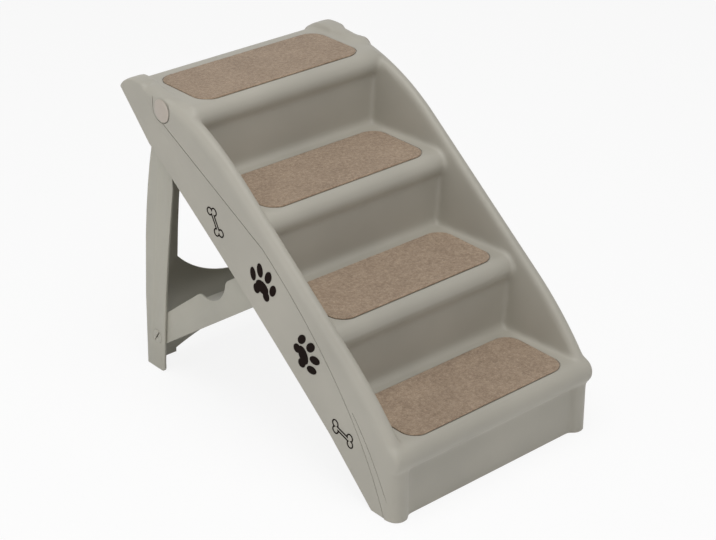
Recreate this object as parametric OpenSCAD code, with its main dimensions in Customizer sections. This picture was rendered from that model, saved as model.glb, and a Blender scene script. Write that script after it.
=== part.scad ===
// Folding pet stairs: a moulded four step shell on a hinged leg frame with a folding brace
// X is the width, the steps climb towards +Y and Z is up, with the floor at zero

/* [Steps] */
// Overall width of the shell
stair_w = 407; // [380:1:430]
// Height of the lowest tread above the floor
first_rise = 125.5; // [122:0.5:130]
// Height from one tread to the next
step_rise = 124.4; // [122:0.2:127]
// Depth from one riser to the next
step_run = 158.7; // [156:0.1:162]
// Radius of the rolled nosing on each tread
nosing_r = 22; // [20:0.5:24]
// Distance of a riser behind the nosing's front
riser_setback = 9; // [7:0.5:11]
// Distance of the front panel behind the nosing's front
panel_setback = 16.5; // [14:0.5:19]
// Radius of the fillet at the foot of each riser
foot_fillet_r = 12; // [8:0.5:14]
// Wall of the moulding
wall = 3; // [2.6:0.1:3.4]
// Gap between the floor and the moulding, which the rubber pads fill
floor_gap = 1; // [0.5:0.1:1.5]

/* [Cheeks] */
// Thickness of each side cheek over both its walls
cheek_w = 35.5; // [34:0.5:38]
// Height of the rim above the line that touches the nosings
rim_rise = 19.5; // [17:0.5:22]
// Rounding of the rim's outer corner
rim_outer_r = 17; // [15:0.5:18]
// Rounding of the rim's inner corner
rim_inner_r = 10; // [8:0.5:12]
// Radius of the rim's long curve at the top
top_curve_r = 400; // [380:5:420]
// Radius of the rim's long curve at the front
front_curve_r = 570; // [540:5:600]
// Distance up the slope at which the front curve starts
front_curve_start = 240; // [236:1:244]
// Height of the rim's crest above the top tread
crest_rise = 11.3; // [10:0.1:13]
// Radius of the rim's short curve at the rear
rear_curve_r = 56; // [52:1:62]
// Length of the level run at the crest
crest_flat = 2; // [1:0.5:4]
// Length of the shell behind the last full step
tail = 18.7; // [16:0.1:21]
// Distance of the platform's rear wall from the cheeks' rear tips
rear_inset = 10.5; // [9:0.5:12]
// Radius of each front corner pillar
pillar_r = 17; // [16:0.5:18]
// Distance of the pillars' front behind the nosing's front
pillar_setback = 7; // [6:0.5:8]
// Depth by which the lower side band is recessed
band_step = 1.4; // [1:0.1:1.8]

/* [Mats] */
// Width of each tread mat
mat_w = 318; // [300:1:320]
// Depth of the mats on the lower treads
mat_d = 129.7; // [122:0.1:131]
// Depth of the mat on the top tread
top_mat_d = 124; // [116:0.5:128]
// Thickness of a mat
mat_t = 3.2; // [2.6:0.1:4]
// Corner radius of a mat
mat_r = 27; // [20:0.5:32]
// Distance of a mat behind the nosing's front
mat_inset = 18; // [17:0.5:19]
// Depth of the recess that holds a mat
recess_t = 1.8; // [1.4:0.1:2]

/* [Hinge] */
// Distance of the hinge pin from the cheeks' rear tips
pin_back = 111.5; // [110:0.5:113]
// Depth of the hinge pin below the crest
pin_drop = 28.7; // [28:0.1:30]
// Radius of the hinge pin's shaft
pin_r = 8; // [7:0.25:9]
// Radius of the round cap over the pin
cap_r = 18.5; // [17.5:0.25:19.5]
// Radius of the raised boss that the cap sits on
boss_r = 21.7; // [21:0.1:22.7]
// Height of the cap outside the cheek
cap_t = 1.6; // [1.2:0.1:2.2]
// Thickness of the hinge washer
washer_t = 1; // [0.8:0.1:1.2]
// Thickness of the retaining clip
clip_t = 2; // [1.4:0.1:2.6]

/* [Legs] */
// Wall of the leg frame and its web
leg_t = 3.4; // [3:0.1:3.8]
// Radius of the leg's ear round the pin
ear_r = 14; // [13:0.25:15]
// Length of the leg's ear along the pin
ear_len = 10; // [8:0.5:11]
// Depth of the leg's foot along Y
foot_d = 48; // [46:0.5:50]
// Distance of the leg's rear edge from the cheeks' rear tips, at the floor
leg_back = 24.5; // [23:0.5:26]
// Half width of the opening in the leg's web
leg_open_half = 138; // [134:1:142]
// Height of the bottom of that opening at mid width
leg_open_z = 131; // [128:0.5:134]
// Radius of that opening's curved bottom
leg_open_r = 210; // [200:5:220]
// Height at which the web's side strips end
web_top_z = 352; // [344:1:354]
// Radius of the arch between the feet
foot_arch_r = 390; // [375:5:405]
// Height of the arch between the feet at mid width
foot_arch_z = 36; // [33:0.5:40]
// Rounding of the foot's front corner
foot_round_r = 9; // [7:0.5:10]

/* [Brace] */
// Distance of the brace pivot in front of the leg's rear edge
brace_back = 31.6; // [31:0.2:32.4]
// Height of the brace pivot
brace_z = 63.3; // [62:0.1:65]
// Angle of the brace above level
brace_angle = 34.8; // [34.4:0.1:35.2]
// Length of the brace's side flanges from the pivot
brace_len = 334; // [330:0.5:336]
// Length of the brace's panel from the pivot
panel_len = 262; // [256:0.5:264]
// Distance from the pivot at which the flanges reach their full height
brace_ramp = 163; // [150:1:164]
// Depth of the brace's panel below the flanges' top
panel_drop = 9.5; // [9:0.25:10]
// Height of the flanges above the pivot line
brace_up = 35; // [34:0.25:36]
// Depth of the flanges below the pivot line
brace_down = 17; // [16:0.25:18]
// Wall of the brace
brace_t = 3; // [2.6:0.1:3.2]
// Radius of the finger trough across the brace
trough_r = 51; // [49:0.5:53]
// Distance of the trough from the pivot
trough_u = 213; // [211:0.5:216]
// Depth of the trough below the flanges' top
trough_depth = 20.5; // [19:0.25:22]
// Radius of the snap stub's shaft
stub_r = 7; // [6:0.25:7.5]
// Radius of the snap stub's head
stub_head_r = 12; // [11:0.25:12.5]
// Radius of the catch rods
rod_r = 5; // [4.5:0.25:5.5]
// Distance of the catch rods from the flanges' far ends
rod_back = 12; // [11:0.5:13]
// Length of the cut corner at the foot of each flange's far end, which clears the cheek's roof in the fold
brace_cut = 17.5; // [15:0.5:19]

/* [Trim] */
// Height of the rubber foot pads
pad_t = 9; // [7:0.5:11]
// Radius of the rear foot pads
rear_pad_r = 8; // [7:0.25:9]
// Thickness of the applied decals
decal_t = 0.5; // [0.4:0.05:0.6]
// Length of a paw print
paw_len = 55; // [50:1:57]
// Length of a bone
bone_len = 50; // [46:1:54]

/* [Hidden] */

// Overrun of every cut, overlap of joined solids, and the clearances of the fits
over = 1;
lap = 0.5;
run_gap = 0.06;
side_gap = 0.3;
part_gap = 0.8;
seat_gap = 0.2;
arc_steps = 10;
rim_steps = 5;
fillet_steps = 6;
fillet_turn = 12;
hook_turn = 225;
oval_steps = 16;
seam_turn = 2;
steps = 4;
fine = 64;

plastic = [0.635, 0.612, 0.565];
carpet = [0.565, 0.49, 0.43];
cap_tint = [0.69, 0.65, 0.6];
steel = [0.72, 0.72, 0.7];
rubber = [0.42, 0.41, 0.38];
ink = [0.1, 0.06, 0.04];

// Places of the shell, with Y counted back from the lowest nosing's front
half_w = stair_w / 2;
inner_x = half_w - cheek_w;
cavity_x = half_w - wall;
shell_len = steps * step_run + tail;
top_z = first_rise + (steps - 1) * step_rise;
crest_z = top_z + crest_rise;
slope = atan(step_rise / step_run);
along = [cos(slope), sin(slope)];
across = [-sin(slope), cos(slope)];
nose_c = [nosing_r, first_rise - nosing_r];
rim_line = nose_c * across + nosing_r + rim_rise;
top_c = [(crest_z - top_curve_r) / tan(slope) + (top_curve_r - rim_line) / sin(slope),
    crest_z - top_curve_r];
rear_c = [top_c[0] + crest_flat, crest_z - rear_curve_r];
front_c = front_curve_start * along + (rim_line - front_curve_r) * across;
pin = [shell_len - pin_back, crest_z - pin_drop];
pillar_c = [half_w - pillar_r - wall / 2, pillar_setback + pillar_r];

// Places of the leg and the brace
leg_x = cavity_x - washer_t - side_gap;
brace_x = leg_x - leg_t - part_gap;
leg_y = shell_len - leg_back;
brace_pin = [leg_y - brace_back, brace_z];
rod_u = brace_len - rod_back;
rod_v = (brace_up - brace_down) / 2;
panel_v = brace_up - panel_drop;
rear_post_r = rear_pad_r + seat_gap + wall;
rear_post_c = [leg_x - rear_post_r - wall / 2, leg_y - rear_post_r - wall / 2];
skin_depth = wall + recess_t;

// Shares of the shell's length and crest height that the side outline follows
toe_share = [0.092, 0];
low_share = [0.2326, 0.1706];
mid_share = [0.5639, 0.517];
high_share = [0.8921, 0.8105];
heel_share = [0.964, 0.908];
tip_share = [1, 0.956];
crease_knee_share = [0.459, 0.663];
crease_pull_share = [0.141, 0.358];
crease_toe_share = [0.045, 0];
leg_bow_share = [0.986, 0.706];
leg_front_share = [0.9, 0.38];
leg_knee_share = 0.8442;
brace_low_share = 0.79;

// Places of the decals in those shares, each with its turn in degrees, and a bone's with its lobes' lean
paw_place_shares = [[0.4705, 0.5212, 103], [0.333, 0.3806, 153]];
bone_place_shares = [[0.6387, 0.664, 62, 108], [0.1884, 0.2017, 17, 72]];

// Ovals of a paw in shares of its length: middle, half sizes and turn, each drawn on both sides
paw_oval_shares = [[0.118, 0, 0.191, 0.273, 0], [-0.055, 0.209, 0.155, 0.136, 0],
    [0.291, 0.436, 0.204, 0.12, 17], [0.573, 0.182, 0.213, 0.127, 15]];

// A bone in shares of its length: its knobs' middle, lobes and radius, its stem's half width and its line
bone_knob_share = [0.34, 0.108, 0.14];
bone_stem_share = 0.074;
bone_line_share = 0.042;

function arc(c, r, a, b, n = arc_steps) =
    [for (i = [0:n]) c + r * [cos(a + (b - a) * i / n), sin(a + (b - a) * i / n)]];
function bend(p, q, s, n = arc_steps) =
    [for (i = [0:n]) let (t = i / n) (1 - t) * (1 - t) * p + 2 * t * (1 - t) * q + t * t * s];
function spot(share) = [share[0] * shell_len, share[1] * crest_z];
function turned(p, a) = [p[0] * cos(a) - p[1] * sin(a), p[0] * sin(a) + p[1] * cos(a)];

// An outline in Y and Z, made solid from x0 to x1
module plate(x0, x1) {
    translate([x0, 0, 0]) rotate([90, 0, 90]) linear_extrude(x1 - x0) children();
}

module rod(c, r, x0, x1) {
    translate([x0, c[0], c[1]]) rotate([0, 90, 0]) cylinder(r = r, h = x1 - x0, $fn = fine);
}

module both() {
    children();
    mirror([1, 0, 0]) children();
}

// Centres the whole model on the origin
module placed() {
    translate([0, -shell_len / 2, 0]) children();
}

// The lower rear edge of the cheeks, from the toe up to the tip
function low_edge() = concat([spot(toe_share)], bend(spot(low_share), spot(mid_share), spot(high_share)),
    [spot(heel_share), spot(tip_share)]);

// The rim's path, from the rear tip forward, at a depth d under its crest, with no corner at a seam
function rim_path(d) = concat(arc(rear_c, rear_curve_r - d, 40, 90 - seam_turn),
    arc(top_c, top_curve_r - d, 90 + seam_turn, 90 + slope - seam_turn),
    arc(front_c, front_curve_r - d, 90 + slope + seam_turn, 142));

// Cross-section of a cheek at its rim: radius first, then X
function rim_section(r, depth, e) = concat([[r - depth, inner_x + e]],
    arc([r - e - (rim_inner_r - e), inner_x + rim_inner_r], rim_inner_r - e, -90, 0, rim_steps),
    arc([r - rim_outer_r, half_w - rim_outer_r], rim_outer_r - e, 0, 90, rim_steps),
    [[r - depth, half_w - e]]);

module rim_sector(c, r, depth, a, b, e) {
    rotate([90, 0, 90]) translate([c[0], c[1], 0]) rotate([0, 0, a])
        rotate_extrude(angle = b - a, $fn = 2 * fine) polygon(rim_section(r, depth, e));
}

module rim_run(start, tilt, length, r, depth, e) {
    translate([0, start[0], start[1]]) rotate([tilt, 0, 0]) rotate([-90, -90, 0])
        linear_extrude(length) polygon(rim_section(r, depth, e));
}

// One cheek, e inside its outer surface
module cheek(e) {
    depth = rim_outer_r + rim_inner_r + 2 * wall;
    core = rim_outer_r + wall;
    front = pillar_c[1] + e;
    reach = e > 0 ? shell_len / 6 : 0;
    sunk = [for (p = low_edge()) p + [reach, -reach]];
    intersection() {
        union() {
            rim_sector(rear_c, rear_curve_r, depth, 90, 20, e);
            rim_sector(top_c, top_curve_r, depth, 90, 90 + slope, e);
            rim_run([top_c[0], 0], 0, crest_flat, crest_z, depth, e);
            rim_run(front_curve_start * along, slope, top_c * along - front_curve_start, rim_line, depth, e);
            rim_sector(front_c, front_curve_r, depth, 90 + slope, 146, e);
            plate(inner_x + e, half_w - e)
                polygon(concat([[front, -over * (e > 0 ? 1 : 0)]], sunk, rim_path(core + e),
                    [[front, first_rise]]));
        }
        plate(inner_x - over, half_w + over)
            polygon(concat([[front, e > 0 ? -over : floor_gap]], [[sunk[0][0], e > 0 ? -over : floor_gap]],
                [for (i = [1:len(sunk) - 1]) sunk[i]],
                [[shell_len + reach - e, crest_z + crest_rise], [e, crest_z + crest_rise], [e, nose_c[1]],
                [front, nose_c[1]]]));
    }
}

// The stepped profile of treads, rolls and risers, e inside its outer surface
function step_points(i, e) = let (
    y = i * step_run, z = first_rise + i * step_rise, setback = i == 0 ? panel_setback : riser_setback,
    te = e > 0 ? skin_depth : 0, r = nosing_r - e, c = [y + nosing_r, z - nosing_r],
    a = 180 + acos(min(1, (nosing_r - setback - e) / r)), b = e > 0 ? asin((nosing_r - te) / r) : 90,
    next = y + step_run + riser_setback)
    concat(arc(c, r, a, b, 2 * arc_steps), i < steps - 1 ? arc([next - foot_fillet_r, z + foot_fillet_r],
        foot_fillet_r + te, -90, te > e ? -fillet_turn : 0, fillet_steps) : []);

module step_body(e) {
    te = e > 0 ? skin_depth : 0;
    rear = shell_len - rear_inset - e;
    corner = wall + recess_t + over - e / 2;
    reach = e > 0 ? shell_len / 6 : 0;
    base = e > 0 ? -over : floor_gap;
    low = [for (p = low_edge()) p + [reach, -reach]];
    last = [rear, spot(tip_share)[1] - rear_inset - reach];
    polygon(concat([[panel_setback + e, base]], [for (i = [0:steps - 1]) each step_points(i, e)],
        arc([rear - corner, top_z - te - corner], corner, 90, 0, 4), [last],
        [for (i = [len(low) - 2:-1:1]) low[i]], [[low[0][0], base]]));
}

module mat_outline(w, d, r) {
    translate([-w / 2, 0]) polygon(concat(arc([r, r], r, -180, -90), arc([w - r, r], r, -90, 0),
        arc([w - r, d - r], r, 0, 90), arc([r, d - r], r, 90, 180)));
}

function mat_depth(i) = i == steps - 1 ? top_mat_d : mat_d;

module mat_solid(i, grow, t, lift) {
    translate([0, i * step_run + mat_inset - grow, first_rise + i * step_rise + lift])
        linear_extrude(t) mat_outline(mat_w + 2 * grow, mat_depth(i) + 2 * grow, mat_r + grow);
}

// The raised rim's boundary on the cheek, from the platform round the boss and down to the toe
function crease() = concat([[pin[0] + boss_r, crest_z + over]], arc(pin, boss_r, 0, -75, 8),
    bend(spot(crease_knee_share), spot(crease_pull_share), spot(crease_toe_share)));

module band_cut() {
    plate(half_w - band_step, half_w + over) polygon(concat(crease(), [[spot(crease_toe_share)[0], -over],
        [shell_len + over, -over], [shell_len + over, crest_z + over]]));
}

// The catch rods sit in blocks on the cheeks' inner walls, and the brace's hooks rest on them
rod_c = brace_pin + turned([-rod_u, rod_v], -brace_angle);
block_x = inner_x + wall + 3 * rod_r;
hook_x = block_x + part_gap;
rod_x = brace_x - brace_t - part_gap;

module catch_block() {
    riser = 2 * step_run + riser_setback;
    low = rod_c[1] - 2 * rod_r;
    high = rod_c[1] + 2 * rod_r;
    difference() {
        plate(inner_x + wall - lap, block_x) polygon([[riser - 4 * rod_r, high - rod_r], [rod_c[0], high],
            [rod_c[0] + 2 * rod_r, high - rod_r], [rod_c[0] + 2 * rod_r, rod_c[1]],
            [rod_c[0], low], [riser - 4 * rod_r, low]]);
        rod(rod_c, rod_r + run_gap, inner_x + wall + over, half_w);
    }
}

module hinge_rib() {
    x = leg_x - ear_len - part_gap;
    difference() {
        intersection() {
            plate(x - wall, x) polygon(concat([[pin[0] + 2 * ear_r, crest_z]],
                arc(pin, ear_r, 0, -180), [[pin[0] - 2 * ear_r, crest_z]]));
            cheek(wall - lap);
        }
        rod(pin, pin_r + run_gap, x - wall - over, x + over);
    }
}

module stair_shell() {
    color(plastic) placed() difference() {
        union() {
            difference() {
                union() {
                    both() cheek(0);
                    both() rod(pin, boss_r, half_w - rim_outer_r, half_w);
                    plate(-inner_x - lap, inner_x + lap) step_body(0);
                    rod(nose_c, nosing_r + seat_gap, -half_w + wall, half_w - wall);
                    both() rod(nose_c, nosing_r - wall / 2, 0, half_w - wall / 4);
                    both() translate([pillar_c[0], pillar_c[1], floor_gap])
                        cylinder(r = pillar_r, h = nose_c[1] - floor_gap, $fn = fine);
                    both() translate([pillar_c[0], pillar_c[1], floor_gap])
                        cylinder(r = pillar_r + wall / 2, h = wall, $fn = fine);
                }
                both() cheek(wall);
                plate(-inner_x - wall - lap, inner_x + wall + lap) step_body(wall);
                rod(nose_c, nosing_r - wall - seat_gap, -half_w + 2 * wall, half_w - 2 * wall);
                both() translate([pillar_c[0], pillar_c[1], -over])
                    cylinder(r = pillar_r - wall, h = nose_c[1], $fn = fine);
                both() band_cut();
            }
            both() hinge_rib();
            both() catch_block();
        }
        for (i = [0:steps - 1]) mat_solid(i, seat_gap, recess_t + over, -recess_t);
        both() rod(pin, pin_r + run_gap, cavity_x - over, half_w + over);
        both() rod(pin, ear_r + part_gap, leg_x - ear_len - part_gap / 2, cavity_x);
    }
}

module tread_mat(i) {
    color(carpet) placed() mat_solid(i, 0, mat_t, -recess_t + seat_gap / 10);
}

// A leg's bowed rear edge, from the floor up to its ear
function leg_rear(n) = bend([leg_y, floor_gap + wall], [leg_bow_share[0] * leg_y, leg_bow_share[1] * pin[1]],
    pin + [ear_r, 0], n);

// Side outline of a leg, from its foot's rounded front corner back, up and down again
function leg_outline() = concat(arc([leg_y - foot_d + foot_round_r, floor_gap + foot_round_r], foot_round_r,
    -180, -90, fillet_steps), [[leg_y, floor_gap]], leg_rear(arc_steps), arc(pin, ear_r, 0, 180),
    bend([leg_knee_share * leg_y, web_top_z], [leg_front_share[0] * leg_y, leg_front_share[1] * pin[1]],
    [leg_y - foot_d, floor_gap + 2 * foot_round_r]));

// The strip along the leg's rear edge that the web fills
function web_outline() = let (kept = [for (p = leg_rear(2 * arc_steps)) if (p[1] < web_top_z) p])
    concat([[leg_y - leg_t, floor_gap], [leg_y, floor_gap]], kept,
        [for (i = [len(kept) - 1:-1:0]) kept[i] - [leg_t, 0]]);

module leg_openings() {
    reach = asin(leg_open_half / leg_open_r);
    arch_half = leg_open_half + 2 * wall;
    translate([0, leg_y + over, 0]) rotate([90, 0, 0]) linear_extrude(leg_y / 2) {
        polygon(concat(arc([0, leg_open_z + leg_open_r], leg_open_r, -90 - reach, reach - 90, 3 * arc_steps),
            [[leg_open_half, pin[1]], [-leg_open_half, pin[1]]]));
        intersection() {
            translate([0, foot_arch_z - foot_arch_r]) circle(r = foot_arch_r, $fn = 2 * fine);
            translate([-arch_half, -foot_arch_z]) square([2 * arch_half, 3 * foot_arch_z]);
        }
    }
}

module leg_frame() {
    color(plastic) placed() difference() {
        union() {
            both() plate(leg_x - leg_t, leg_x) polygon(leg_outline());
            difference() {
                plate(-leg_x + lap, leg_x - lap) polygon(web_outline());
                leg_openings();
            }
            both() rod(pin, ear_r, leg_x - ear_len, leg_x);
            both() translate([rear_post_c[0], rear_post_c[1], floor_gap])
                cylinder(r = rear_post_r, h = pad_t + wall, $fn = fine);
        }
        both() rod(pin, pin_r + run_gap, leg_x - ear_len - over, leg_x + over);
        both() rod(brace_pin, stub_r + run_gap, leg_x - leg_t - over, leg_x + over);
        both() rod(brace_pin, stub_head_r + seat_gap, leg_x - leg_t / 2, leg_x + over);
        both() translate([rear_post_c[0], rear_post_c[1], floor_gap - over])
            cylinder(r = rear_pad_r + seat_gap, h = pad_t + over, $fn = fine);
    }
}

// Outlines of the brace, with U along it from the pivot and V across it
trough_c = [trough_u, brace_up - trough_depth + trough_r];

// The dip of the trough where it goes below the given level, with its radius grown
function trough_dip(level, grow) = let (a = acos((trough_c[1] - level) / (trough_r + grow)))
    arc(trough_c, trough_r + grow, -90 - a, a - 90);

// The panel's surface at the given depth
function panel_face(depth) = concat([[brace_up, panel_v - depth]],
    trough_dip(panel_v - depth, seat_gap + depth), [[panel_len, panel_v - depth]]);

module brace_frame() {
    translate([0, brace_pin[0], brace_pin[1]]) rotate([180 - brace_angle, 0, 0]) mirror([0, 0, 1]) children();
}

// The way by which a catch rod leaves its hook, down and back along the brace
module rod_way() {
    gap = rod_r + lap;
    rod([rod_u, rod_v], gap, hook_x - over, brace_x - brace_t);
    plate(hook_x - over, brace_x - brace_t) translate([rod_u, rod_v]) rotate(hook_turn) polygon(
        [[0, gap - seat_gap], [6 * rod_r, gap + over], [6 * rod_r, -gap - over], [0, seat_gap - gap]]);
}

module hook() {
    difference() {
        plate(hook_x, brace_x - brace_t + lap) polygon([[brace_len - 6 * rod_r, brace_up],
            [brace_len, brace_up], [brace_len, brace_cut - brace_down],
            [brace_len - brace_cut + brace_down / 2, -brace_down / 2],
            [brace_len - 6 * rod_r, -brace_down / 2]]);
        rod_way();
    }
}

module brace_panel() {
    x = brace_x - brace_t;
    under = panel_face(brace_t);
    color(plastic) placed() brace_frame() {
        difference() {
            union() {
                both() plate(x, brace_x) polygon(concat([[brace_up, brace_low_share * brace_up],
                    [brace_ramp, brace_up]], trough_dip(brace_up, 0), [[brace_len, brace_up],
                    [brace_len, brace_cut - brace_down], [brace_len - brace_cut, -brace_down]],
                    arc([0, 0], brace_down, -90, -250)));
                plate(-x - lap, x + lap) polygon(concat(panel_face(0),
                    [for (i = [len(under) - 1:-1:0]) under[i]]));
            }
            both() rod([0, 0], stub_r + run_gap, x - over, brace_x + over);
        }
        both() hook();
    }
}

module catch_rod() {
    color(steel) placed() rod(rod_c, rod_r, inner_x + wall + 2 * over, rod_x);
}

module brace_stub() {
    slot = stub_r / 3;
    stub_turn = 35;
    x0 = brace_x - brace_t - 2 * wall;
    color(plastic) placed() difference() {
        union() {
            rod(brace_pin, stub_r, x0, leg_x - leg_t / 2 + lap);
            rod(brace_pin, stub_head_r, leg_x - leg_t / 2 + side_gap / 3, leg_x + side_gap);
            rod(brace_pin, stub_r + wall / 2, x0, brace_x - brace_t - side_gap);
        }
        translate([brace_x - brace_t, brace_pin[0], brace_pin[1]]) rotate([stub_turn, 0, 0])
            translate([0, -slot / 2, -stub_head_r - over]) cube([4 * wall, slot, 2 * (stub_head_r + over)]);
        rod(brace_pin, slot, brace_x - brace_t, leg_x + over);
    }
}

module hinge_pin() {
    x0 = leg_x - ear_len - part_gap - wall - 2 * clip_t;
    color(steel) placed() rod(pin, pin_r, x0, half_w);
}

module hinge_cap() {
    lip = cap_t / 2;
    color(cap_tint) placed() {
        rod(pin, cap_r, half_w + run_gap, half_w + lip);
        translate([half_w + lip, pin[0], pin[1]]) rotate([0, 90, 0])
            cylinder(r1 = cap_r, r2 = cap_r - cap_t, h = cap_t - lip, $fn = fine);
    }
}

module hinge_washer() {
    color(rubber) placed() difference() {
        rod(pin, ear_r, cavity_x - washer_t - side_gap / 2, cavity_x - side_gap / 2);
        rod(pin, pin_r + run_gap, leg_x - over, half_w);
    }
}

module hinge_clip() {
    x1 = leg_x - ear_len - part_gap - wall - side_gap;
    color(steel) placed() difference() {
        rod(pin, pin_r + wall, x1 - clip_t, x1);
        rod(pin, pin_r, x1 - clip_t - over, x1 + over);
    }
}

module front_foot() {
    color(rubber) placed() translate([pillar_c[0], pillar_c[1], 0])
        cylinder(r = pillar_r - wall - seat_gap, h = pad_t, $fn = fine);
}

module rear_foot() {
    color(rubber) placed() translate([rear_post_c[0], rear_post_c[1], 0])
        cylinder(r = rear_pad_r, h = pad_t, $fn = fine);
}

// An oval at c with the given half sizes
module oval(c, half, turn) {
    polygon([for (k = [0:oval_steps - 1]) let (a = 360 * k / oval_steps)
        c + turned([half[0] * cos(a), half[1] * sin(a)], turn)]);
}

// A paw print that points along +X, made of a pad, its two lobes and four toes
module paw_outline() {
    for (p = paw_oval_shares, side = [-1, 1])
        oval(paw_len * [p[0], side * p[1]], paw_len * [p[2], p[3]], side * p[4]);
}

// A bone along X, drawn in by the given distance all round, with its knobs' lobes along the lean
module bone_outline(inside, lean) {
    knob = bone_len * bone_knob_share;
    half = bone_len * bone_stem_share - inside;
    translate([-knob[0], -half]) square([2 * knob[0], 2 * half]);
    for (x = [-1, 1], y = [-1, 1])
        translate([x * knob[0], 0] + y * turned([knob[1], 0], lean))
            circle(r = knob[2] - inside, $fn = fine / 2);
}

module on_band(share) {
    translate([half_w - band_step + run_gap, spot(share)[0], spot(share)[1]]) rotate([90, 0, 90])
        linear_extrude(decal_t) children();
}

module paw_decals() {
    color(ink) placed() for (p = paw_place_shares) on_band(p) rotate(p[2]) paw_outline();
}

module bone_decals() {
    color(ink) placed() for (p = bone_place_shares) on_band(p) rotate(p[2]) difference() {
        bone_outline(0, p[3]);
        bone_outline(bone_len * bone_line_share, p[3]);
    }
}

stair_shell();
tread_mat(0);  // tread_mat_1
tread_mat(1);  // tread_mat_2
tread_mat(2);  // tread_mat_3
tread_mat(3);  // tread_mat_4
leg_frame();
brace_panel();
mirror([1, 0, 0]) hinge_pin();  // hinge_pin_left
hinge_pin();  // hinge_pin_right
mirror([1, 0, 0]) hinge_cap();  // hinge_cap_left
hinge_cap();  // hinge_cap_right
mirror([1, 0, 0]) hinge_washer();  // hinge_washer_left
hinge_washer();  // hinge_washer_right
mirror([1, 0, 0]) hinge_clip();  // hinge_clip_left
hinge_clip();  // hinge_clip_right
mirror([1, 0, 0]) brace_stub();  // brace_stub_left
brace_stub();  // brace_stub_right
mirror([1, 0, 0]) catch_rod();  // catch_rod_left
catch_rod();  // catch_rod_right
mirror([1, 0, 0]) front_foot();  // front_foot_left
front_foot();  // front_foot_right
mirror([1, 0, 0]) rear_foot();  // rear_foot_left
rear_foot();  // rear_foot_right
mirror([1, 0, 0]) paw_decals();  // paw_decals_left
paw_decals();  // paw_decals_right
mirror([1, 0, 0]) bone_decals();  // bone_decals_left
bone_decals();  // bone_decals_right
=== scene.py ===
import math

import bmesh
import bpy
from mathutils import Matrix, Vector


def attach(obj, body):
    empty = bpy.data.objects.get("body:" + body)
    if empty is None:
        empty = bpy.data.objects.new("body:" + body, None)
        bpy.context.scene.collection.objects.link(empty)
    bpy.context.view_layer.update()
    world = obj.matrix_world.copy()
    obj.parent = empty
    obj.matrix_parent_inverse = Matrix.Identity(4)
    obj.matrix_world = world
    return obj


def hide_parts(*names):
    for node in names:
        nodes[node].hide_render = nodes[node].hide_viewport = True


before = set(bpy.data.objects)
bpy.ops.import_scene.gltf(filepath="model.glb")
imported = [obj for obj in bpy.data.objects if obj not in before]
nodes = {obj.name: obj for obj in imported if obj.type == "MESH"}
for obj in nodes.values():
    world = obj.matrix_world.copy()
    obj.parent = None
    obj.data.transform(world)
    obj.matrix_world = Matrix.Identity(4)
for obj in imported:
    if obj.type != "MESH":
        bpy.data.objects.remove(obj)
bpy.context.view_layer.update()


# Selection

def deselect():
    if bpy.context.object and bpy.context.object.mode != "OBJECT":
        bpy.ops.object.mode_set(mode="OBJECT")
    bpy.ops.object.select_all(action="DESELECT")


def pick(obj):
    deselect()
    obj.select_set(True)
    bpy.context.view_layer.objects.active = obj


def settle(obj):
    """Puts a piece's place into its mesh, so its object sits unturned at the origin."""
    pick(obj)
    bpy.ops.object.transform_apply(location=True, rotation=True, scale=True)
    return obj


def shade(obj, degrees):
    """Smooth shading, with a hard edge where two faces meet at more than this angle."""
    pick(obj)
    bpy.ops.object.shade_smooth_by_angle(angle=math.radians(degrees))


def paint(obj, material):
    obj.data.materials.clear()
    obj.data.materials.append(material)


# Materials

def linear(rgb):
    """A screen colour, 0 to 255, as linear light with full alpha."""
    return tuple(c / 255 / 12.92 if c <= 10 else ((c / 255 + 0.055) / 1.055) ** 2.4
                 for c in rgb) + (1,)


def grey(value):
    return (value,) * 3 + (1,)


def new_material(name):
    m = bpy.data.materials.new(name)
    m.use_nodes = True
    tree = m.node_tree
    return m, tree, tree.nodes["Principled BSDF"]


def add(tree, kind, **values):
    """A shader node with its inputs and settings filled in."""
    n = tree.nodes.new(kind)
    for key, value in values.items():
        if key in n.inputs:
            n.inputs[key].default_value = value
        else:
            setattr(n, key, value)
    return n


def ramp(tree, source, stops):
    """A colour ramp over a value; each stop is a place and a colour."""
    r = tree.nodes.new("ShaderNodeValToRGB")
    while len(r.color_ramp.elements) < len(stops):
        r.color_ramp.elements.new(0.5)
    for e, (where, colour) in zip(r.color_ramp.elements, stops):
        e.position = where
        e.color = colour
    tree.links.new(source, r.inputs["Fac"])
    return r


def blend(tree, part, first, second):
    """A mix of two colours, with that part of the second."""
    mix = add(tree, "ShaderNodeMix", data_type="RGBA")
    mix.inputs[0].default_value = part
    tree.links.new(first, mix.inputs[6])
    tree.links.new(second, mix.inputs[7])
    return mix.outputs[2]


def any_ray(tree, *kinds):
    """One where the ray is of any of these kinds, else zero."""
    way = tree.nodes.new("ShaderNodeLightPath")
    value = way.outputs[kinds[0]]
    for kind in kinds[1:]:
        most = add(tree, "ShaderNodeMath", operation="MAXIMUM")
        tree.links.new(value, most.inputs[0])
        tree.links.new(way.outputs[kind], most.inputs[1])
        value = most.outputs["Value"]
    return value


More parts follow.
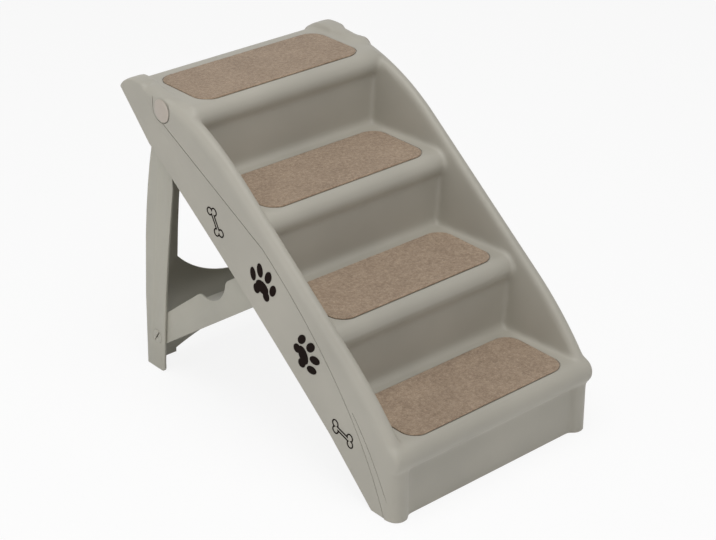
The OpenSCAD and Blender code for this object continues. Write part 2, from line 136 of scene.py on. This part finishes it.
def moulded_plastic(name, rgb, rough, grain=0.05, sheen_spread=0.04, gloss=0.4):
    """Moulded plastic: a fine pebbled skin and a slow drift of tone."""
    m, tree, skin = new_material(name)
    where = add(tree, "ShaderNodeTexCoord")
    drift = add(tree, "ShaderNodeTexNoise", Scale=5.0, Detail=3.0)
    tree.links.new(where.outputs["Object"], drift.inputs["Vector"])
    low = linear([c * (1 - sheen_spread) for c in rgb])
    high = linear([min(255, c * (1 + sheen_spread)) for c in rgb])
    tone = ramp(tree, drift.outputs["Fac"], [(0.3, low), (0.7, high)])
    tree.links.new(tone.outputs["Color"], skin.inputs["Base Color"])
    pebble = add(tree, "ShaderNodeTexVoronoi", Scale=900.0, feature="SMOOTH_F1")
    tree.links.new(where.outputs["Object"], pebble.inputs["Vector"])
    bump = add(tree, "ShaderNodeBump", Strength=grain, Distance=0.0006)
    tree.links.new(pebble.outputs["Distance"], bump.inputs["Height"])
    tree.links.new(bump.outputs["Normal"], skin.inputs["Normal"])
    wear = ramp(tree, drift.outputs["Fac"], [(0.25, grey(rough - 0.05)), (0.8, grey(rough + 0.05))])
    tree.links.new(wear.outputs["Color"], skin.inputs["Roughness"])
    skin.inputs["Specular IOR Level"].default_value = gloss
    return m


def looped_carpet(name):
    """Short needled carpet: mottled brown fibres with pale flecks and a felted surface."""
    m, tree, skin = new_material(name)
    where = add(tree, "ShaderNodeTexCoord")
    fibre = add(tree, "ShaderNodeTexNoise", Scale=420.0, Detail=6.0, Roughness=0.75)
    tuft = add(tree, "ShaderNodeTexNoise", Scale=170.0, Detail=5.0, Roughness=0.7)
    cloud = add(tree, "ShaderNodeTexNoise", Scale=22.0, Detail=4.0, Roughness=0.6)
    for t in (fibre, tuft, cloud):
        tree.links.new(where.outputs["Object"], t.inputs["Vector"])
    fine = ramp(tree, fibre.outputs["Fac"], [
        (0.36, linear((98, 78, 60))), (0.52, linear((156, 134, 112))),
        (0.66, linear((212, 192, 168)))])
    broad = ramp(tree, tuft.outputs["Fac"], [
        (0.36, linear((112, 91, 72))), (0.62, linear((194, 172, 148)))])
    patch = ramp(tree, cloud.outputs["Fac"], [
        (0.3, linear((138, 117, 96))), (0.7, linear((174, 152, 129)))])
    weave = blend(tree, 0.5, fine.outputs["Color"], broad.outputs["Color"])
    worn = blend(tree, 0.35, weave, patch.outputs["Color"])
    tree.links.new(worn, skin.inputs["Base Color"])
    rise = add(tree, "ShaderNodeMath", operation="ADD")
    tree.links.new(fibre.outputs["Fac"], rise.inputs[0])
    tree.links.new(tuft.outputs["Fac"], rise.inputs[1])
    bump = add(tree, "ShaderNodeBump", Strength=0.55, Distance=0.0016)
    tree.links.new(rise.outputs["Value"], bump.inputs["Height"])
    tree.links.new(bump.outputs["Normal"], skin.inputs["Normal"])
    skin.inputs["Roughness"].default_value = 0.95
    skin.inputs["Specular IOR Level"].default_value = 0.15
    skin.inputs["Sheen Weight"].default_value = 0.25
    skin.inputs["Sheen Roughness"].default_value = 0.6
    return m


def brushed_metal(name, rgb, rough):
    """Metal brushed in lines along its length."""
    m, tree, skin = new_material(name)
    where = add(tree, "ShaderNodeTexCoord")
    stretch = add(tree, "ShaderNodeMapping", Scale=(30.0, 900.0, 900.0))
    lines = add(tree, "ShaderNodeTexNoise", Scale=1.0, Detail=4.0)
    tree.links.new(where.outputs["Object"], stretch.inputs["Vector"])
    tree.links.new(stretch.outputs["Vector"], lines.inputs["Vector"])
    dark = linear([c * 0.9 for c in rgb])
    tone = ramp(tree, lines.outputs["Fac"], [(0.3, dark), (0.7, linear(rgb))])
    tree.links.new(tone.outputs["Color"], skin.inputs["Base Color"])
    wear = ramp(tree, lines.outputs["Fac"], [(0.3, grey(rough - 0.07)), (0.7, grey(rough + 0.07))])
    tree.links.new(wear.outputs["Color"], skin.inputs["Roughness"])
    skin.inputs["Metallic"].default_value = 1.0
    return m


shell_skin = moulded_plastic("shell plastic", (172, 168, 157), 0.48)
leg_skin = moulded_plastic("leg plastic", (172, 169, 157), 0.5)
cap_skin = moulded_plastic("cap plastic", (184, 174, 163), 0.4)
washer_skin = moulded_plastic("washer plastic", (205, 204, 198), 0.45)
rubber_skin = moulded_plastic("foot rubber", (92, 90, 84), 0.85, grain=0.25)
decal_ink = moulded_plastic("printed ink", (22, 12, 8), 0.7, grain=0.02, sheen_spread=0.1,
                            gloss=0.05)
carpet = looped_carpet("tread carpet")
steel = brushed_metal("pin steel", (190, 188, 182), 0.35)

dress = {
    "stair_shell": shell_skin, "leg_frame": leg_skin, "brace_panel": leg_skin,
    "brace_stub": leg_skin, "tread_mat": carpet, "hinge_pin": steel, "hinge_cap": cap_skin,
    "hinge_washer": washer_skin, "hinge_clip": steel, "catch_rod": steel,
    "front_foot": rubber_skin, "rear_foot": rubber_skin,
    "paw_decals": decal_ink, "bone_decals": decal_ink,
}
for name, obj in nodes.items():
    for start, material in dress.items():
        if name.startswith(start):
            paint(obj, material)


# Measures of the part, in millimetres; side points are (behind the lowest nosing, above the floor)

STEPS = 4
STEP_RUN, STEP_RISE, FIRST_RISE = 158.7, 124.4, 125.5
LENGTH = STEPS * STEP_RUN + 18.7
CREST = FIRST_RISE + 3 * STEP_RISE + 11.3
HALF, INNER = 203.5, 168.0               # the cheeks' outer and inner faces from the middle
WALL = 3.0
ROLL = 22.0                              # radius of the treads' rolled nosings
FRONT_BACK, RISER_BACK = 16.5, 9.0       # the front face and the risers behind their nosings
REAR_IN = 10.5                           # the rear face before the cheeks' rear end
COVE_R, REAR_ROUND = 12.0, 8.0
SLOPE = math.atan2(STEP_RISE, STEP_RUN)
ALONG = (math.cos(SLOPE), math.sin(SLOPE))
ACROSS = (-math.sin(SLOPE), math.cos(SLOPE))
ROLL_AT = (ROLL, FIRST_RISE - ROLL)
RIM_LINE = ROLL_AT[0] * ACROSS[0] + ROLL_AT[1] * ACROSS[1] + ROLL + 19.5
TOP_R, REAR_R, FRONT_R, FRONT_START, FLAT = 400.0, 56.0, 570.0, 240.0, 2.0
TOP_AT = ((CREST - TOP_R) / math.tan(SLOPE) + (TOP_R - RIM_LINE) / math.sin(SLOPE), CREST - TOP_R)
REAR_AT = (TOP_AT[0] + FLAT, CREST - REAR_R)
FRONT_AT = tuple(FRONT_START * a + (RIM_LINE - FRONT_R) * n for a, n in zip(ALONG, ACROSS))
PIN = (LENGTH - 111.5, CREST - 28.7)
BOSS_R, BOSS_DEEP = 21.9, 18.0
CORNER_LINE = STEP_RUN * 1.057 * ACROSS[0] + FIRST_RISE * ACROSS[1]
RIM_REAR_END, RIM_FRONT_END = 44.0, 145.4       # where the rim's arcs end, in degrees
RIM_OUT, RIM_UP = 40.0, 112.0            # the rounded rim is farther out and higher than this
DRAFT = 0.126                            # how far the cheeks' inner walls lean out
PILLAR_BACK, PILLAR_OUT, PILLAR_R, PILLAR_TOP = 24.0, 185.0, 17.5, 104.0
FOOT_UP = 1.0                            # the moulding ends above the floor, on foot pads
SEAM_BACK, RING_R = 22.8, 19.5
BAND_STEP = 1.4                          # the band under the crease is lower than the cheek
MAT_HALF, MAT_R, MAT_BACK = 159.0, 27.0, 18.0
MAT_DEPTH, TOP_MAT_DEPTH = 129.7, 124.0
MAT_THICK, MAT_SUNK = 3.2, 1.75
RECESS_GAP, RECESS_DEEP = 1.1, 1.8

# Reaches of the solids that are joined or cut away
SPARE = 16.0                             # joined solids run this far past where they meet
HOLLOW_SPARE = 15.0
FAR, WIDE, PAST = 60.0, 240.0, 12.0      # tools reach past the ends, across, and past the skin
SAME = 0.1                               # points closer than this are level


def metres(points):
    """Side points in millimetres behind the lowest nosing, as metres in the CAD's frame."""
    return [((y - LENGTH / 2) / 1000, z / 1000) for y, z in points]


def arc(at, r, a, b, n):
    """n + 1 points on an arc, from angle a to b in degrees."""
    turn = [math.radians(a + (b - a) * i / n) for i in range(n + 1)]
    return [(at[0] + r * math.cos(t), at[1] + r * math.sin(t)) for t in turn]


def bow(p, q, s, n):
    """n + 1 points on the curve from p to s that leans towards q."""
    out = []
    for i in range(n + 1):
        t = i / n
        out.append(tuple((1 - t) ** 2 * a + 2 * t * (1 - t) * b + t * t * c
                         for a, b, c in zip(p, q, s)))
    return out


def share(y, z):
    """The side point at these shares of the length and the height."""
    return (y * LENGTH, z * CREST)


def ribbon(path, width):
    """The closed outline of a line of that width along a path of side points."""
    left, right = [], []
    for i, (y, z) in enumerate(path):
        before, after = path[max(0, i - 1)], path[min(len(path) - 1, i + 1)]
        dy, dz = after[0] - before[0], after[1] - before[1]
        reach = width / 2 / math.hypot(dy, dz)
        left.append((y - dz * reach, z + dy * reach))
        right.append((y + dz * reach, z - dy * reach))
    return left + right[::-1]


# Solids and the ways to join, cut and round them

def prism(name, corners, shift):
    """A solid: a flat face with these corners, extruded along the shift, all in metres."""
    deselect()
    bpy.ops.mesh.primitive_circle_add(vertices=len(corners), radius=0.1, fill_type="NGON")
    obj = bpy.context.object
    obj.name = name
    for v, corner in zip(obj.data.vertices, corners):
        v.co = corner
    bpy.ops.object.mode_set(mode="EDIT")
    bpy.ops.mesh.select_all(action="SELECT")
    bpy.ops.mesh.extrude_region_move(TRANSFORM_OT_translate={"value": shift})
    bpy.ops.mesh.select_all(action="SELECT")
    bpy.ops.mesh.normals_make_consistent(inside=False)
    bpy.ops.object.mode_set(mode="OBJECT")
    return settle(obj)


def slab(name, outline, x0, x1):
    """A solid with a side outline in millimetres, extruded across from x0 to x1."""
    corners = [(x0 / 1000, y, z) for y, z in metres(outline)]
    return prism(name, corners, ((x1 - x0) / 1000, 0, 0))


def barrel(name, at, r, x0, x1):
    """A round bar across the width at a side point."""
    deselect()
    y, z = metres([at])[0]
    bpy.ops.mesh.primitive_cylinder_add(
        vertices=64, radius=r / 1000, depth=(x1 - x0) / 1000,
        location=((x0 + x1) / 2000, y, z), rotation=(0, math.pi / 2, 0))
    obj = bpy.context.object
    obj.name = name
    return settle(obj)


def round_edges(obj, wanted, width, segments):
    """Bevels the edges for which wanted(a, b) holds; a and b are the ends in millimetres."""
    pick(obj)
    bpy.ops.object.mode_set(mode="EDIT")
    bpy.ops.mesh.select_mode(type="EDGE")
    bpy.ops.mesh.select_all(action="DESELECT")
    mesh = bmesh.from_edit_mesh(obj.data)
    for e in mesh.edges:
        a, b = (v.co * 1000 for v in e.verts)
        e.select_set(bool(wanted(a, b)))
    bmesh.update_edit_mesh(obj.data)
    bpy.ops.mesh.bevel(offset=width / 1000, segments=segments, affect="EDGES", clamp_overlap=False)
    bpy.ops.object.mode_set(mode="OBJECT")


def apply(obj, kind, **values):
    """Adds a modifier with these settings and applies it."""
    pick(obj)
    mod = obj.modifiers.new(kind.lower(), kind)
    for key, value in values.items():
        setattr(mod, key, value)
    bpy.ops.object.modifier_apply(modifier=mod.name)


def cut(obj, tool):
    """Takes the tool's solid out of the piece and removes the tool."""
    apply(obj, "BOOLEAN", operation="DIFFERENCE", object=tool, solver="MANIFOLD")
    bpy.data.objects.remove(tool)


def fuse(name, parts, grain, smooth):
    """Joins overlapping solids into one closed skin with soft inner and outer corners."""
    deselect()
    for p in parts:
        p.select_set(True)
    bpy.context.view_layer.objects.active = parts[0]
    bpy.ops.object.join()
    obj = bpy.context.object
    obj.name = name
    settle(obj)
    apply(obj, "REMESH", mode="VOXEL", voxel_size=grain / 1000)
    apply(obj, "SMOOTH", factor=0.5, iterations=smooth)
    return obj


def mirrored(obj):
    """A copy on the other side, with its faces turned outwards."""
    pick(obj)
    bpy.ops.object.duplicate()
    twin = bpy.context.object
    twin.scale = (-1, 1, 1)
    settle(twin)
    bpy.ops.object.mode_set(mode="EDIT")
    bpy.ops.mesh.select_all(action="SELECT")
    bpy.ops.mesh.flip_normals()
    bpy.ops.object.mode_set(mode="OBJECT")
    return twin


# The moulded shell; the side's curves are measured on the photo

low_curve = bow(share(0.2326, 0.1706), share(0.5639, 0.517), share(0.8921, 0.8105), 16)
LOW_EDGE = [share(0.092, 0)] + low_curve + [share(0.964, 0.908), share(1, 0.956)]
CREASE = [share(0.459, 0.663), share(0.141, 0.358), share(0.045, 0)]
TOE = [(100, 150), (56, 102), (13, 8)]


def rim_path(inset):
    """The cheeks' upper rim from the rear over the crest to the front, inset from the skin."""
    slope = math.degrees(SLOPE)
    return (arc(REAR_AT, REAR_R - inset, RIM_REAR_END, 90, 10)
            + arc(TOP_AT, TOP_R - inset, 90.5, 90 + slope, 22)
            + arc(FRONT_AT, FRONT_R - inset, 90 + slope + 0.5, RIM_FRONT_END, 16))


def cheek_outline(inset, drop):
    """A cheek from the side, inset from its skin, its lower edge moved down and back by drop."""
    low = [(y + drop, z - drop) for y, z in LOW_EDGE]
    rear = [(LENGTH + drop, low[-1][1])] if drop > 0 else []
    front = PILLAR_BACK + inset
    path = rim_path(inset)
    return [(front, -drop)] + low + rear + path + [(front, path[-1][1])]


def is_rim(p):
    """A point on the rounded rim, and not on the lower edge, the foot or the front."""
    out = (p.y + LENGTH / 2) * ACROSS[0] + p.z * ACROSS[1]
    return out > RIM_OUT and p.z > RIM_UP


def cheek(name, x_in, x_out, inset, drop, outer_r, inner_r):
    """A side wall with its rim rounded on both faces and its inner face leaning out."""
    obj = slab(name, cheek_outline(inset, drop), x_in, x_out)
    for face, r, segments in ((x_out, outer_r, 8), (x_in, inner_r, 5)):
        round_edges(obj, lambda a, b: all(abs(p.x - face) < SAME and is_rim(p) for p in (a, b)),
                    r, segments)
    for v in obj.data.vertices:
        behind, up = v.co.y * 1000 + LENGTH / 2, v.co.z * 1000
        height = behind * ACROSS[0] + up * ACROSS[1] - CORNER_LINE
        v.co.x += DRAFT * height / 1000 * (x_out / 1000 - v.co.x) * 1000 / (x_out - x_in)
    return obj


def step_outline(inset, drop):
    """Treads, rolls and risers from the side, as one closed outline."""
    depth = inset + RECESS_DEEP * (inset > 0)
    pts = [(FRONT_BACK + inset, -drop)]
    for i in range(STEPS):
        y, z = i * STEP_RUN, FIRST_RISE + i * STEP_RISE
        back = FRONT_BACK if i == 0 else RISER_BACK
        r = ROLL - inset
        start = 180 + math.degrees(math.acos(min(1, (ROLL - back - inset) / r)))
        stop = math.degrees(math.asin((ROLL - depth) / r)) if inset else 90
        pts += arc((y + ROLL, z - ROLL), r, start, stop, 18)
        if i < STEPS - 1:
            foot = y + STEP_RUN + RISER_BACK
            end = 348 if inset else 360
            pts += arc((foot - COVE_R, z + COVE_R), COVE_R + depth, 270, end, 6)
    rear, top = LENGTH - REAR_IN - inset, FIRST_RISE + 3 * STEP_RISE - depth
    pts += arc((rear - REAR_ROUND, top - REAR_ROUND), REAR_ROUND, 90, 0, 5)
    low = [(y + drop, z - drop) for y, z in LOW_EDGE[:-1]]
    return pts + [(rear, low[-1][1])] + low[::-1]


def shell_solids():
    """The steps, cheeks, hinge bosses, lowest nosing and front pillars, running into each other."""
    solids = [slab("steps", step_outline(0, SPARE), -INNER - SPARE, INNER + SPARE)]
    side = cheek("cheek", INNER, HALF, inset=0, drop=SPARE, outer_r=20, inner_r=10)
    boss = barrel("boss", PIN, BOSS_R, HALF - BOSS_DEEP, HALF)
    solids += [side, mirrored(side), boss, mirrored(boss)]
    end = HALF - 0.5
    roll = barrel("roll", ROLL_AT, ROLL, -end, end)
    round_edges(roll, lambda a, b: abs(a.x - b.x) < SAME and abs(abs(a.x) - end) < 2 * SAME,
                width=6, segments=3)
    solids.append(roll)
    y, _ = metres([(PILLAR_BACK, 0)])[0]
    for sign in (-1, 1):
        deselect()
        bpy.ops.mesh.primitive_cylinder_add(
            vertices=48, radius=PILLAR_R / 1000, depth=(PILLAR_TOP + SPARE) / 1000,
            location=(sign * PILLAR_OUT / 1000, y, (PILLAR_TOP - SPARE) / 2000))
        solids.append(settle(bpy.context.object))
    return solids


def side_tools():
    """What is cut from a side: the band under the crease, then the seam, ring, crease and toe."""
    back, under_pin, above = PIN[0] + SEAM_BACK, PIN[1] - RING_R, CREST + 20
    low, rear = -30, LENGTH + 30
    corner = bow((back, PIN[1]), (back, under_pin), (PIN[0], under_pin), 12)
    crease = corner + bow(*CREASE, 24)
    band = [(back, above)] + crease + [(30, low), (rear, low), (rear, above)]
    # The grooves lie a little behind and below the band's edge, where the camera sees into them
    groove_back, groove_low, shift = back + 2.4, under_pin - 2, 2.6
    seam = [(groove_back, above)] + bow((groove_back, PIN[1]), (groove_back, groove_low),
                                        (PIN[0], groove_low), 12)
    groove = [(y - shift * ACROSS[0], z - shift * ACROSS[1]) for y, z in crease[len(corner) - 2:]]
    ring = arc(PIN, RING_R, -80, -235, 22)
    # Each line's name, path, width and depth
    lines = [("seam", seam, 1.4, 2.5), ("ring", ring, 1.4, 2.6),
             ("crease_line", groove, 1.4, 2.2), ("toe_line", bow(*TOE, 12), 1.2, 0.7)]
    tools = [slab("band", band, HALF - BAND_STEP, HALF + PAST)]
    for name, path, width, deep in lines:
        tools.append(slab(name, ribbon(path, width), HALF - deep, HALF + PAST))
    return tools


def hollow_tool(grain):
    """The space in the shell, under the steps and inside both cheeks."""
    steps = slab("hollow", step_outline(WALL, FAR), -INNER - HOLLOW_SPARE, INNER + HOLLOW_SPARE)
    gap = cheek("gap", INNER + WALL, HALF - WALL - 0.2, inset=WALL + 5, drop=FAR,
                outer_r=12, inner_r=6)
    cavity = fuse("cavity", [steps, gap, mirrored(gap)], grain, smooth=2)
    apply(cavity, "DECIMATE", decimate_type="COLLAPSE", ratio=0.2)
    return cavity


def build_shell():
    """The steps, cheeks and front corners as one hollow moulding with soft corners."""
    grain = 3.0
    shell = fuse("shell_skin", shell_solids(), grain, smooth=14)
    apply(shell, "DECIMATE", decimate_type="COLLAPSE", ratio=0.42)
    rear = LENGTH + FAR
    below = [(-FAR, FOOT_UP), (LOW_EDGE[0][0], FOOT_UP)] + LOW_EDGE[1:] + [
        (rear, LOW_EDGE[-1][1] + 30), (rear, -FAR), (-FAR, -FAR)]
    cut(shell, slab("trim", below, -WIDE, WIDE))
    for tool in side_tools():
        twin = mirrored(tool)
        cut(shell, tool)
        cut(shell, twin)
    cut(shell, hollow_tool(grain))
    for i in range(STEPS):
        cut(shell, mat_block("recess", i, grow=RECESS_GAP, below=RECESS_DEEP, height=12))
    shade(shell, degrees=38)
    paint(shell, shell_skin)
    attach(shell, "shell")
    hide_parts("stair_shell")


# The tread mats

def mat_depth(i):
    return TOP_MAT_DEPTH if i == STEPS - 1 else MAT_DEPTH


def mat_block(name, i, grow, below, height):
    """A rounded slab in a tread's mat place, grown all round, from below the tread upwards."""
    half, depth, r = MAT_HALF + grow, mat_depth(i) + 2 * grow, MAT_R + grow
    front = i * STEP_RUN + MAT_BACK - grow
    centres = [((half - r, r), 270), ((half - r, depth - r), 0),
               ((r - half, depth - r), 90), ((r - half, r), 180)]
    z = (FIRST_RISE + i * STEP_RISE - below) / 1000
    corners = [(x / 1000, (y + front - LENGTH / 2) / 1000, z)
               for at, a in centres for x, y in arc(at, r, a, a + 90, 12)]
    return prism(name, corners, (0, 0, height / 1000))


def build_mat(i):
    """A carpet tread mat: a rounded slab with a softened edge and an uneven needled face."""
    mat = mat_block("mat_%d" % (i + 1), i, grow=0, below=MAT_SUNK, height=MAT_THICK)
    apply(mat, "REMESH", mode="VOXEL", voxel_size=0.0016)
    apply(mat, "SMOOTH", factor=0.5, iterations=2)
    pile = bpy.data.textures.new("pile", "CLOUDS")
    pile.noise_scale = 0.004
    pile.noise_depth = 2
    face = mat.vertex_groups.new(name="face")
    height = max(v.co.z for v in mat.data.vertices)
    for v in mat.data.vertices:
        face.add([v.index], 1.0 if v.co.z > height - 0.0016 else 0.0, "REPLACE")
    apply(mat, "DISPLACE", texture=pile, strength=0.0009, mid_level=0.6, vertex_group="face")
    shade(mat, degrees=60)
    paint(mat, carpet)
    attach(mat, "shell")
    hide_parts("tread_mat_%d" % (i + 1))


# Moulded pieces with softened edges

def deepen_arch(leg):
    """Cuts the web's opening down to the lower arch that the photo shows."""
    r, bottom, half, top = 182.0, 120.0, 138.0, 240.0
    reach = math.degrees(math.asin(half / r))
    outline = arc((0, bottom + r), r, -90 - reach, reach - 90, 28) + [(half, top), (-half, top)]
    corners = [(x / 1000, 0.2, z / 1000) for x, z in outline]
    cut(leg, prism("arch", corners, (0, 0.16, 0)))


def round_brace(brace):
    """Rounds the trough's shoulders on both flanges, then the flanges' outer edges."""
    shoulders = [Vector((0, 149.3, 190.2)), Vector((0, 82.1, 236.9))]
    flange_out = 195

    def at_shoulder(p):
        return any((Vector((0, p.y, p.z)) - s).length < 1.2 for s in shoulders)

    round_edges(brace, lambda a, b: abs(a.x - b.x) > 2 and at_shoulder(a) and at_shoulder(b),
                width=7, segments=4)
    round_edges(brace, lambda a, b: abs(a.x - b.x) < SAME and abs(abs(a.x) - flange_out) < SAME,
                width=0.9, segments=2)


def softened(node, body, name, width, material, shape=None):
    """The CAD piece's own shape, merged where doubled, cleaned where flat and with rounded edges.

    A shape function changes the form first. With no width the edges are left to that function."""
    source = nodes[node]
    source.hide_set(False)
    pick(source)
    bpy.ops.object.duplicate()
    obj = bpy.context.object
    obj.parent = None
    obj.matrix_world = Matrix.Identity(4)
    obj.name = name
    bpy.ops.object.mode_set(mode="EDIT")
    bpy.ops.mesh.select_all(action="SELECT")
    bpy.ops.mesh.remove_doubles(threshold=0.00001)
    bpy.ops.mesh.dissolve_limited(angle_limit=math.radians(1.5))
    bpy.ops.object.mode_set(mode="OBJECT")
    if shape:
        shape(obj)
    if width:
        apply(obj, "BEVEL", width=width / 1000, segments=2, limit_method="ANGLE",
              angle_limit=math.radians(30), use_clamp_overlap=True)
    shade(obj, degrees=34)
    paint(obj, material)
    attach(obj, body)
    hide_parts(node)


build_shell()
for step in range(STEPS):
    build_mat(step)
softened("leg_frame", "leg", "leg_moulding", 1.0, leg_skin, shape=deepen_arch)
softened("brace_panel", "brace", "brace_moulding", 0, leg_skin, shape=round_brace)
for side in ("left", "right"):
    softened("brace_stub_" + side, "brace", "snap_stub_" + side, 0.5, leg_skin)
    softened("hinge_cap_" + side, "shell", "cap_button_" + side, 0.7, cap_skin)


# Floor and light

def floor_material():
    """A plain floor, white to the camera and in reflections, that takes a soft shadow."""
    m, tree, skin = new_material("studio floor")
    skin.inputs["Base Color"].default_value = (0.95, 0.95, 0.95, 1)
    skin.inputs["Roughness"].default_value = 1.0
    skin.inputs["Specular IOR Level"].default_value = 0.0
    white = add(tree, "ShaderNodeEmission", Color=(1, 1, 1, 1), Strength=1.0)
    part = add(tree, "ShaderNodeMath", operation="MULTIPLY")
    part.inputs[1].default_value = 0.88
    tree.links.new(any_ray(tree, "Is Camera Ray", "Is Glossy Ray"), part.inputs[0])
    both = tree.nodes.new("ShaderNodeMixShader")
    tree.links.new(part.outputs["Value"], both.inputs["Fac"])
    tree.links.new(skin.outputs["BSDF"], both.inputs[1])
    tree.links.new(white.outputs["Emission"], both.inputs[2])
    tree.links.new(both.outputs["Shader"], tree.nodes["Material Output"].inputs["Surface"])
    return m


deselect()
bpy.ops.mesh.primitive_plane_add(size=30, location=(0, 0, 0))
floor = bpy.context.object
floor.name = "studio_floor"
bpy.ops.object.mode_set(mode="EDIT")
bpy.ops.mesh.subdivide(number_cuts=4)
bpy.ops.object.mode_set(mode="OBJECT")
paint(settle(floor), floor_material())

# The sky lights softly but looks white
world = bpy.data.worlds.new("studio")
bpy.context.scene.world = world
world.use_nodes = True
sky = world.node_tree
background = sky.nodes["Background"]
background.inputs["Color"].default_value = (1, 1, 1, 1)
background.inputs["Strength"].default_value = 0.27
seen = add(sky, "ShaderNodeBackground", Color=(1, 1, 1, 1), Strength=1.0)
mix = sky.nodes.new("ShaderNodeMixShader")
looked_at = any_ray(sky, "Is Camera Ray", "Is Glossy Ray", "Is Transmission Ray")
sky.links.new(looked_at, mix.inputs["Fac"])
sky.links.new(background.outputs["Background"], mix.inputs[1])
sky.links.new(seen.outputs["Background"], mix.inputs[2])
sky.links.new(mix.outputs["Shader"], sky.nodes["World Output"].inputs["Surface"])


def lamp(name, where, aim, size, power):
    """A square area lamp, turned to what it lights."""
    data = bpy.data.lights.new(name, "AREA")
    data.shape = "SQUARE"
    data.size = size
    data.energy = power
    obj = bpy.data.objects.new(name, data)
    bpy.context.collection.objects.link(obj)
    obj.location = where
    obj.rotation_euler = (Vector(aim) - Vector(where)).to_track_quat("-Z", "Y").to_euler()


lamp("top softbox", (-0.4, -0.5, 3.0), (0, 0, 0.2), size=2.4, power=52)
lamp("side softbox", (-3.0, 0.5, 0.7), (0, 0, 0.25), size=1.8, power=24)
lamp("front softbox", (-0.4, -3.0, 0.6), (0, 0, 0.2), size=1.6, power=10)


# Camera

camera_data = bpy.data.cameras.new("camera")
camera = bpy.data.objects.new("camera", camera_data)
bpy.context.collection.objects.link(camera)
bpy.context.scene.camera = camera
camera_data.sensor_width = 36
camera_data.lens = 95.1
camera_data.clip_start = 0.05
camera_data.clip_end = 60
eye = Vector((-1.7061, -1.9959, 1.5978))
target = Vector((-0.0312, -0.0402, 0.25))
camera.location = eye
look = (target - eye).to_track_quat("-Z", "Y").to_matrix()
roll = math.radians(-0.27)
camera.rotation_euler = (look @ Matrix.Rotation(roll, 3, "Z")).to_euler()

bpy.context.scene.view_settings.view_transform = "Standard"
